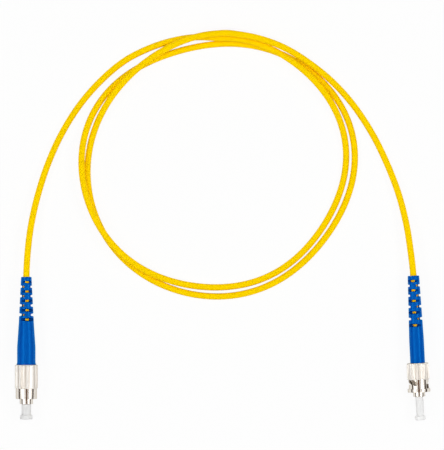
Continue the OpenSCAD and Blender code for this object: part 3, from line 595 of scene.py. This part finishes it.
st_boot = turned("st_boot_moulded", [
    (2.275, 0), (2.445, 0.07), (2.525, 0.25), (3.2, 27.2), (3.225, 28.5), (3.225, 38.1),
    (3.125, 38.2), (2.41, 38.2), (2.41, 28.9), (crimp_grip_bore_r, 27.9),
    (crimp_grip_bore_r, 22.4), (boot_bore_r, 22.4), (boot_bore_r, 0)])
cut_slots(st_boot, st_pitch_growth, boot_turn)
settle(st_boot, st_place, boot_finishes, "boot", "cord", "st_boot", angle=28)

# ---- Crimps ----
# The aramid yarn of the cable is folded over the grooved tail of each metal body.
# A plated brass sleeve is crimped over the yarn, and its narrow end over the jacket.
fc_tail_r = 1.97
st_tail_r = 1.77
yarn_wall = 0.22
strand_lay = 0.02


def aramid_strands(name, inner_r, rear, front):
    """Strands side by side round a tail, with a slight lay, all copied from the first one."""
    strand_r = yarn_wall / 2
    count = int(math.tau * (inner_r + strand_r) / yarn_wall)
    steps = 12
    select_none()
    bpy.ops.mesh.primitive_circle_add(vertices=7, radius=strand_r, fill_type="NGON")
    strand = bpy.context.object
    strand.name = strand.data.name = name
    bpy.ops.object.mode_set(mode="EDIT")
    bpy.ops.mesh.select_all(action="SELECT")
    bpy.ops.transform.translate(value=(inner_r + strand_r, 0, rear))
    for _ in range(steps):
        bpy.ops.mesh.extrude_region_move(
            TRANSFORM_OT_translate={"value": (0, 0, (front - rear) / steps)})
        bpy.ops.transform.rotate(value=strand_lay, orient_axis="Z", center_override=(0, 0, 0))
    finish_shell()
    return join([strand] + [copy_of(strand, math.tau * k / count) for k in range(1, count)])


def aramid_yarn():
    """Straw yellow high-strength yarn, streaked along its strands, with a soft sheen."""
    finish, tree, shader = new_finish("aramid", Roughness=0.55, Sheen_Weight=0.3)
    streaks = grain(tree, (0.00009, 0.004, 0.00009), detail=3)
    tree.links.new(tint(tree, streaks, (0.62, 0.43, 0.08), (0.86, 0.66, 0.2)),
                   shader.inputs["Base Color"])
    hairs = add_node(tree, "Bump", {"Height": streaks}, Strength=0.5, Distance=0.00003)
    tree.links.new(hairs.outputs["Normal"], shader.inputs["Normal"])
    return finish


metal_edge = (0.72, 0.67, 0.6, 1)


def lathe_metal(name, dark, light, polish, tilt=0.0):
    """Metal off a lathe: rings round its axis, patches of colour, and an uneven polish."""
    finish, tree, shader = new_finish(name, Metallic=1.0, Specular_Tint=metal_edge)
    tree.links.new(tint(tree, grain(tree, (0.003, 0.003, 0.003), detail=3), dark, light),
                   shader.inputs["Base Color"])
    tree.links.new(level(tree, grain(tree, (0.0011, 0.0011, 0.0011)), *polish),
                   shader.inputs["Roughness"])
    rings = grain(tree, (0.02, 0.00009, 0.02), turn_z=tilt, detail=2)
    marks = add_node(tree, "Bump", {"Height": rings}, Strength=0.2, Distance=0.000004)
    tree.links.new(marks.outputs["Normal"], shader.inputs["Normal"])
    return finish


def dress(finish, *nodes):
    """Gives a finish to solids of the frame that keep their shape."""
    for node in nodes:
        for material_slot in frame["nodes"][node].material_slots:
            material_slot.material = finish


strand_finish = aramid_yarn()
fc_yarn = aramid_strands("fc_yarn_strands", fc_tail_r, rear=26.9, front=34.4)
settle(fc_yarn, fc_place, [strand_finish], "aramid", "cord", "fc_aramid_yarn", angle=60)
st_yarn = aramid_strands("st_yarn_strands", st_tail_r, rear=29.2, front=36.2)
settle(st_yarn, st_place, [strand_finish], "aramid", "cord", "st_aramid_yarn", angle=60)

crimp_finish = lathe_metal("dull_crimp_plate", (0.5, 0.47, 0.42), (0.62, 0.59, 0.53),
                           polish=(0.26, 0.42))
dress(crimp_finish, "fc_crimp_sleeve", "st_crimp_sleeve", "fc_back_body")

# ---- Ferrules and fibres ----
# White zirconia ferrules, ground and polished to a dome, with the glass fibre in their bore.
# The yellow buffer ends in the funnel at the rear; a guide tube keeps it straight in the FC spring.
ferrule_r = 1.25
fibre_bore_r = 0.065
fc_tip = 60.6
st_tip = 62.3


def ferrule_outline(rear, tip):
    """From the funnel at the rear along the outside, over the dome and back down the bore."""
    dome = [(ferrule_r, tip - 0.45), (1.2, tip - 0.3), (1.1, tip - 0.13), (0.98, tip - 0.04),
            (0.7, tip - 0.012), (0.35, tip)]
    return [(0.47, rear), (1.13, rear), (1.22, rear + 0.05), (ferrule_r, rear + 0.15), *dome,
            (fibre_bore_r, tip), (fibre_bore_r, rear + 1)]


def zirconia():
    """Dense white ceramic: ground fine round its axis, with a hint of depth."""
    finish, tree, shader = new_finish(
        "zirconia", IOR=2.1, Subsurface_Weight=0.1, Subsurface_Scale=0.0004, Coat_Weight=0.2,
        Coat_Roughness=0.05)
    tree.links.new(tint(tree, grain(tree, (0.002, 0.002, 0.002)), (0.86, 0.86, 0.83),
                        (0.93, 0.93, 0.91)), shader.inputs["Base Color"])
    tree.links.new(level(tree, grain(tree, (0.01, 0.00006, 0.01), detail=2), 0.1, 0.24),
                   shader.inputs["Roughness"])
    return finish


def clear_tube():
    """Natural fluoropolymer: milky, waxy and half clear."""
    finish, tree, shader = new_finish("milky_tube", IOR=1.36, Transmission_Weight=0.4)
    tree.links.new(tint(tree, grain(tree, (0.001, 0.004, 0.001)), (0.82, 0.83, 0.82),
                        (0.9, 0.91, 0.9)), shader.inputs["Base Color"])
    tree.links.new(level(tree, grain(tree, (0.0004, 0.002, 0.0004)), 0.25, 0.4),
                   shader.inputs["Roughness"])
    return finish


def tight_buffer():
    """The hard yellow coat of the fibre, extruded smooth."""
    finish, tree, shader = new_finish("tight_buffer", IOR=1.5)
    tree.links.new(tint(tree, grain(tree, (0.0004, 0.006, 0.0004)), (0.85, 0.6, 0.02),
                        (0.95, 0.72, 0.05)), shader.inputs["Base Color"])
    tree.links.new(level(tree, grain(tree, (0.0002, 0.004, 0.0002)), 0.28, 0.42),
                   shader.inputs["Roughness"])
    return finish


def silica():
    """Bare glass, clear but for a faint tint that drifts along the draw."""
    finish, tree, shader = new_finish("silica", IOR=1.458, Transmission_Weight=1.0)
    tree.links.new(tint(tree, grain(tree, (0.001, 0.01, 0.001)), (0.9, 0.95, 0.97),
                        (0.97, 0.99, 1.0)), shader.inputs["Base Color"])
    tree.links.new(level(tree, grain(tree, (0.001, 0.005, 0.001)), 0.02, 0.06),
                   shader.inputs["Roughness"])
    return finish


ceramic = zirconia()
fc_ferrule = turned("fc_ferrule_ground", ferrule_outline(47.95, fc_tip), sides=64)
settle(fc_ferrule, fc_place, [ceramic], "zirconia", "fc_ferrule_set", "fc_ferrule")
st_ferrule = turned("st_ferrule_ground", ferrule_outline(45.3, st_tip), sides=64)
settle(st_ferrule, st_place, [ceramic], "zirconia", "cord", "st_ferrule")
dress(clear_tube(), "fc_guide_tube")
dress(tight_buffer(), "fc_buffer", "st_buffer")
dress(silica(), "fc_fibre", "st_fibre")

# ---- Metal bodies ----
# The FC plug frame and the ST body are turned from nickel-plated brass, each with a key below.
# The back body screws into the frame, and the holder slides in it with the ferrule.
nickel_tones = (0.74, 0.695, 0.63), (0.82, 0.78, 0.715)
key_edge = 0.08
st_tail_rear = 29.1
st_tail_length = 7.3
groove_count = 5
groove_width = 0.4


def key_block(piece, width, low, high, rear, front):
    """Adds a straight key under a turned body, from one distance below its axis to another."""
    select_none()
    bpy.ops.mesh.primitive_cube_add(size=1)
    key = bpy.context.object
    bpy.ops.object.mode_set(mode="EDIT")
    bpy.ops.transform.resize(value=(width, high - low, front - rear))
    bpy.ops.transform.translate(value=(0, -(low + high) / 2, (rear + front) / 2))
    bpy.ops.object.mode_set(mode="OBJECT")
    apply_modifier(key, "BEVEL", width=key_edge, segments=2, limit_method="ANGLE",
                   angle_limit=math.radians(30), use_clamp_overlap=False,
                   miter_outer="MITER_ARC")
    combine(piece, key, "UNION")


fc_tilt = math.atan2(fc_place[0][2], -fc_place[1][2])
st_tilt = math.atan2(st_place[0][2], -st_place[1][2])
fc_nickel = lathe_metal("fc_nickel", *nickel_tones, polish=(0.1, 0.19), tilt=fc_tilt)
st_nickel = lathe_metal("st_nickel", *nickel_tones, polish=(0.07, 0.16), tilt=st_tilt)
# A darker plate for faces inside and under the nuts: painted shade
painted_shade_nickel = lathe_metal("painted_shade_nickel", (0.3, 0.25, 0.2), (0.44, 0.38, 0.32),
                          polish=(0.3, 0.45))

fc_frame = turned("fc_frame_turned", [
    (3.0, 35.8), (3.1, 35.9), (3.1, 40.8), (3.8, 40.8), (3.9, 40.9), (3.9, 42.1), (3.8, 42.2),
    (3.1, 42.2), (3.1, 46.2), (3.0, 46.3), (2.9, 46.3), (2.9, 55.45), (2.83, 55.63), (2.65, 55.7),
    (2.4, 55.7), (2.25, 55.55), (2.25, 49.0), (2.55, 49.0), (2.55, 35.8)])
key_block(fc_frame, width=2, low=2.6, high=3.5, rear=42.1, front=46.3)
settle(fc_frame, fc_place, [fc_nickel], "nickel_plate", "cord", "fc_plug_frame")
dress(fc_nickel, "fc_ferrule_holder")

groove_rears = [st_tail_rear + st_tail_length * k / (groove_count + 1)
                for k in range(1, groove_count + 1)]
tail_grooves = [step for rear in groove_rears
                for step in ((1.75, rear), (1.6, rear), (1.6, rear + groove_width),
                             (1.75, rear + groove_width))]
st_body = turned("st_body_turned", [
    (0.55, st_tail_rear), (1.65, st_tail_rear), (1.75, st_tail_rear + 0.1), *tail_grooves,
    (1.75, st_tail_rear + st_tail_length), (2.12, st_tail_rear + st_tail_length),
    (2.2, 36.48), (2.2, 38.78), (1.9, 38.78), (1.9, 39.32), (2.2, 39.32), (2.2, 45.3), (3.3, 45.3),
    (3.4, 45.4), (3.4, 46.4), (3.3, 46.5), (2.8, 46.5), (2.8, 50.7), (2.7, 50.8), (2.6, 50.8),
    (2.6, 52.75), (2.53, 52.93), (2.35, 53.0), (2.0, 53.0), (1.9, 52.9), (1.9, 50.2), (1.25, 50.2),
    (1.25, 45.3), (0.55, 45.3)])
key_block(st_body, width=1, low=2.3, high=3.4, rear=46.4, front=50.8)
# The part that shows through the slots of the nut lies in its shade
for face in st_body.data.polygons:
    if 45.2 < face.center.z < 50.79:
        face.material_index = 1
settle(st_body, st_place, [st_nickel, painted_shade_nickel], "nickel_plate", "cord", "st_body")

# ---- Springs, washer and clip ----
# Stainless wire wound to an open coil: one pushes the FC ferrule forward, one the ST nut back.
# The ST spring bears on a punched washer, and a punched clip holds the nut on the body.
def wound_spring(name, mean_r, wire, start, end, curls):
    """A coil of round wire between two seats, from one circle of it screwed round the axis."""
    select_none()
    bpy.ops.mesh.primitive_circle_add(vertices=14, radius=wire / 2)
    spring = bpy.context.object
    spring.name = spring.data.name = name
    bpy.ops.object.mode_set(mode="EDIT")
    bpy.ops.mesh.select_all(action="SELECT")
    bpy.ops.transform.rotate(value=math.pi / 2, orient_axis="X", center_override=(0, 0, 0))
    bpy.ops.transform.translate(value=(mean_r, 0, start + wire / 2))
    bpy.ops.object.mode_set(mode="OBJECT")
    apply_modifier(spring, "SCREW", axis="Z", angle=math.tau, iterations=curls, steps=40,
                   render_steps=40, screw_offset=(end - start - wire) / curls)
    bpy.ops.object.mode_set(mode="EDIT")
    bpy.ops.mesh.select_all(action="SELECT")
    bpy.ops.mesh.fill_holes(sides=20)
    finish_shell()
    return spring


spring_finish = lathe_metal("spring_wire", (0.42, 0.43, 0.44), (0.56, 0.57, 0.58),
                            polish=(0.16, 0.3))
fc_spring = wound_spring("fc_spring_wire", mean_r=2.15, wire=0.4, start=39.32, end=47.43,
                         curls=5)
settle(fc_spring, fc_place, [spring_finish], "spring_steel", None, "fc_spring", angle=60)
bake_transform(fc_spring)
st_spring = wound_spring("st_spring_wire", mean_r=2.85, wire=0.5, start=40.92, end=45.28,
                         curls=3)
settle(st_spring, st_place, [spring_finish], "spring_steel", None, "st_spring", angle=60)
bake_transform(st_spring)
dress(spring_finish, "st_thrust_washer", "st_retaining_clip")

# ---- FC coupling nut ----
# Nickel-plated brass with a fine straight knurl, a plain front sleeve and an M8 x 0.75 thread.
# It turns on the barrel of the frame and pulls on its collar.
knurl_grooves = 60
columns_per_groove = 4
knurl_r = 5.0
knurl_depth = 0.12
knurl_front = 48.9
fc_sleeve_r = 4.65
thread_pitch = 0.75
thread_turns = 8
thread_root_r = 4.0
thread_first = 46.9


def press_columns(piece, columns, outer_r, chosen, depth):
    """Presses chosen columns of a turned ring inwards, as grooves or flutes along it."""
    bpy.ops.object.mode_set(mode="EDIT")
    pick(piece, lambda place: abs(place.xy.length - outer_r) < 0.001
         and chosen(round(math.atan2(place.y, place.x) / math.tau * columns) % columns))
    smaller = (outer_r - depth) / outer_r
    bpy.ops.transform.resize(value=(smaller, smaller, 1), center_override=(0, 0, 0))
    bpy.ops.object.mode_set(mode="OBJECT")


def thread_ridge():
    """One ridge of trapezium section that winds up the bore of the nut."""
    middle_r = thread_root_r - 0.2
    select_none()
    bpy.ops.mesh.primitive_circle_add(vertices=4, radius=0.3)
    ridge = bpy.context.object
    bpy.ops.object.mode_set(mode="EDIT")
    bpy.ops.mesh.select_all(action="SELECT")
    bpy.ops.transform.rotate(value=math.pi / 4, orient_axis="Z", center_override=(0, 0, 0))
    bpy.ops.transform.rotate(value=math.pi / 2, orient_axis="X", center_override=(0, 0, 0))
    bpy.ops.transform.translate(value=(middle_r, 0, thread_first))
    pick(ridge, lambda place: place.x < middle_r)
    bpy.ops.transform.resize(value=(1, 1, 0.3), center_override=(0, 0, thread_first))
    bpy.ops.object.mode_set(mode="OBJECT")
    apply_modifier(ridge, "SCREW", axis="Z", angle=math.tau, iterations=thread_turns, steps=60,
                   render_steps=60, screw_offset=thread_pitch)
    bpy.ops.object.mode_set(mode="EDIT")
    bpy.ops.mesh.select_all(action="SELECT")
    bpy.ops.mesh.fill_holes(sides=6)
    finish_shell()
    return ridge


def streaked_metal(name, dark, light, polish, tilt, width):
    """Metal rolled or milled along its axis, with lengthwise streaks of burnish and shade."""
    finish, tree, shader = new_finish(name, Metallic=1.0, Specular_Tint=metal_edge)
    streaks = grain(tree, (width, 0.04, width), tilt, detail=3)
    tree.links.new(tint(tree, streaks, dark, light, 0.42, 0.56), shader.inputs["Base Color"])
    tree.links.new(level(tree, grain(tree, (0.0011, 0.0011, 0.0011)), *polish),
                   shader.inputs["Roughness"])
    marks = add_node(tree, "Bump", {"Height": streaks}, Strength=0.2, Distance=0.00001)
    tree.links.new(marks.outputs["Normal"], shader.inputs["Normal"])
    return finish


rolled_nickel = streaked_metal("rolled_nickel", (0.71, 0.665, 0.605), (0.94, 0.925, 0.89),
                               polish=(0.48, 0.58), tilt=fc_tilt, width=0.0008)
fc_nut = turned("fc_nut_knurled", [
    (3.3, 38.5), (4.65, 38.5), (knurl_r, 38.85), (knurl_r, 48.55), (fc_sleeve_r, knurl_front),
    (fc_sleeve_r, 53.15), (4.58, 53.33), (4.4, 53.4), (4.1, 53.4), (thread_root_r, 53.3),
    (thread_root_r, 46.6), (4.1, 46.4), (4.1, 40.7), (3.2, 40.7), (3.2, 38.6)],
    knurl_grooves * columns_per_groove)
press_columns(fc_nut, knurl_grooves * columns_per_groove, knurl_r,
              lambda column: column % columns_per_groove == columns_per_groove // 2, knurl_depth)
fc_nut = join([fc_nut, thread_ridge()])
# The bore takes a darker plate, painted shade, and the knurl is less polished than the plain sleeve
for face in fc_nut.data.polygons:
    if face.center.xy.length < thread_root_r + 0.3:
        face.material_index = 2
    elif face.center.xy.length > fc_sleeve_r + 0.01 and face.center.z < knurl_front:
        face.material_index = 1
settle(fc_nut, fc_place, [fc_nickel, rolled_nickel, painted_shade_nickel], "nickel_plate", "fc_nut",
       "fc_coupling_nut")

# ---- ST bayonet nut ----
# Nickel-plated brass with a fluted grip, a slotted sleeve and a plain rim at the front.
# Two slots lead a socket's lugs in under the rim, round a quarter turn, and into a round pocket.
flutes = 28
columns_per_flute = 8
grip_r = 4.9
grip_front = 45.5
st_sleeve_r = 4.35
flute_r = 0.34
slot_in_r = 3.35
slot_out_r = 4.45
pocket_r = 1.05
pocket_angle = 113


def slot_run(sections):
    """A cutter that winds round the axis through sections of (angle, lowest, highest station)."""
    angle, low, high = sections[0]
    select_none()
    bpy.ops.mesh.primitive_plane_add(size=1)
    run = bpy.context.object
    bpy.ops.object.mode_set(mode="EDIT")
    bpy.ops.transform.rotate(value=math.pi / 2, orient_axis="X", center_override=(0, 0, 0))
    bpy.ops.transform.resize(value=(slot_out_r - slot_in_r, 1, high - low))
    bpy.ops.transform.translate(value=((slot_in_r + slot_out_r) / 2, 0, (low + high) / 2))
    for next_angle, next_low, next_high in sections[1:]:
        middle = (next_low + next_high) / 2
        bpy.ops.mesh.extrude_region_move(
            TRANSFORM_OT_translate={"value": (0, 0, middle - (low + high) / 2)})
        bpy.ops.transform.resize(value=(1, 1, (next_high - next_low) / (high - low)),
                                 center_override=(0, 0, middle))
        bpy.ops.transform.rotate(value=-math.radians(next_angle - angle), orient_axis="Z",
                                 center_override=(0, 0, 0))
        angle, low, high = next_angle, next_low, next_high
    finish_shell()
    run.data.transform(Matrix.Rotation(math.radians(sections[0][0]), 4, "Z"))
    return run


def resting_pocket():
    """The round end of a slot, straight in through the sleeve."""
    select_none()
    bpy.ops.mesh.primitive_cylinder_add(vertices=48, radius=pocket_r, depth=2.4)
    pocket = bpy.context.object
    bpy.ops.object.mode_set(mode="EDIT")
    bpy.ops.transform.rotate(value=math.pi / 2, orient_axis="Y", center_override=(0, 0, 0))
    bpy.ops.transform.translate(value=(slot_in_r + 1.2, 0, 47.1))
    bpy.ops.object.mode_set(mode="OBJECT")
    pocket.data.transform(Matrix.Rotation(math.radians(pocket_angle), 4, "Z"))
    return pocket


fluted_nickel = streaked_metal("fluted_nickel", (0.67, 0.625, 0.56), (0.88, 0.855, 0.81),
                               polish=(0.38, 0.48), tilt=st_tilt, width=0.0009)
st_nut = turned("st_nut_fluted", [
    (3.2, 38.3), (4.55, 38.3), (grip_r, 38.65), (grip_r, 45.15), (4.55, grip_front),
    (st_sleeve_r, grip_front), (st_sleeve_r, 49.4), (4.75, 49.4), (4.89, 49.46), (4.95, 49.6),
    (4.95, 50.8), (4.89, 50.94), (4.75, 51.0), (3.85, 51.0), (3.75, 50.9), (3.75, 40.4),
    (2.3, 40.4), (2.3, 39.4), (3.1, 39.4), (3.1, 38.4)], flutes * columns_per_flute)
for off_centre in range(3):
    at_offset = {columns_per_flute // 2 - off_centre, columns_per_flute // 2 + off_centre}
    across = math.tau * grip_r / (flutes * columns_per_flute) * off_centre
    press_columns(st_nut, flutes * columns_per_flute, grip_r,
                  lambda column: column % columns_per_flute in at_offset,
                  math.sqrt(flute_r ** 2 - across ** 2))
# From the pocket level round the sleeve, then rising and out at the front under the rim
level_part = [(angle, 45.6, 47.6) for angle in range(pocket_angle, 173, 5)]
rising_part = [(173, 45.6, 47.6), (177, 45.65, 48.1), (181, 45.85, 48.6), (185, 46.1, 49.05),
               (189, 46.35, 49.4), (193.6, 46.6, 49.6), (193.8, 46.62, 52), (200, 46.9, 52),
               (208, 47.2, 52), (216, 47.4, 52), (222.3, 47.5, 52)]
track = slot_run(level_part + rising_part)
pocket = resting_pocket()
combine(st_nut, join([track, copy_of(track, math.pi)]))
combine(st_nut, join([pocket, copy_of(pocket, math.pi)]))
# The inside is in the nut's own shade, and the grip is less polished than the sleeve
for face in st_nut.data.polygons:
    if face.center.xy.length < st_sleeve_r - 0.01:
        face.material_index = 2
    elif face.center.z < grip_front - 0.1:
        face.material_index = 1
settle(st_nut, st_place, [st_nickel, fluted_nickel, painted_shade_nickel], "nickel_plate", "st_nut",
       "st_bayonet_nut")

# ---- Dust caps ----
# Soft natural polyethylene, moulded: a sleeve that grips the ferrule and a flange for the nail.
cap_bore_r = 1.3


def moulded_cap(name, rear, tip, r, flange_r, flange_rear, front):
    """A closed cap from the floor of its bore out round its mouth to the front of its flange."""
    return turned(name, [
        (cap_bore_r, tip + 0.1), (cap_bore_r, rear + 0.1), (cap_bore_r + 0.1, rear),
        (r - 0.15, rear), (r - 0.04, rear + 0.05), (r, rear + 0.15), (r, flange_rear - 0.12),
        (r + 0.04, flange_rear - 0.03), (r + 0.14, flange_rear),
        (flange_r - 0.25, flange_rear + 0.03), (flange_r - 0.08, flange_rear + 0.12),
        (flange_r, flange_rear + 0.35), (flange_r, front - 0.35), (flange_r - 0.08, front - 0.12),
        (flange_r - 0.3, front), (flange_r - 0.8, front)], solid=True)


def natural_polyethylene(name, dark, light):
    """Milky and waxy, paler in patches, with soft gloss."""
    finish, tree, shader = new_finish(
        name, Specular_IOR_Level=0.35, Subsurface_Weight=0.3, Subsurface_Scale=0.0006,
        Subsurface_Radius=(1, 1, 1), Coat_Tint=(0.95, 0.95, 0.95, 1), **edge_coat)
    tree.links.new(tint(tree, grain(tree, (0.002, 0.003, 0.002), detail=3), dark, light),
                   shader.inputs["Base Color"])
    tree.links.new(level(tree, grain(tree, (0.0006, 0.0006, 0.0006)), 0.42, 0.55),
                   shader.inputs["Roughness"])
    skin = add_node(tree, "Bump", {"Height": grain(tree, (0.0003, 0.0003, 0.0003))}, Strength=0.1,
                    Distance=0.00001)
    tree.links.new(skin.outputs["Normal"], shader.inputs["Normal"])
    return finish


# One polyethylene in two tones: the thin ST cap is paler, painted light for the light that comes
# through its thinner wall
thick_cap = natural_polyethylene("thick_polyethylene", (0.8, 0.8, 0.795), (0.85, 0.85, 0.845))
thin_cap_painted_light = natural_polyethylene("thin_polyethylene_painted_light", (0.89, 0.89, 0.885), (0.94, 0.94, 0.935))
fc_cap = moulded_cap("fc_cap_moulded", rear=54.1, tip=fc_tip, r=2.05, flange_r=2.7,
                     flange_rear=60.4, front=62.4)
settle(fc_cap, fc_place, [thick_cap], "cap_plastic", "fc_cap", "fc_dust_cap")
st_cap = moulded_cap("st_cap_moulded", rear=51.4, tip=st_tip, r=1.7, flange_r=2.3,
                     flange_rear=61.45, front=63.25)
settle(st_cap, st_place, [thin_cap_painted_light], "cap_plastic", "st_cap", "st_dust_cap")
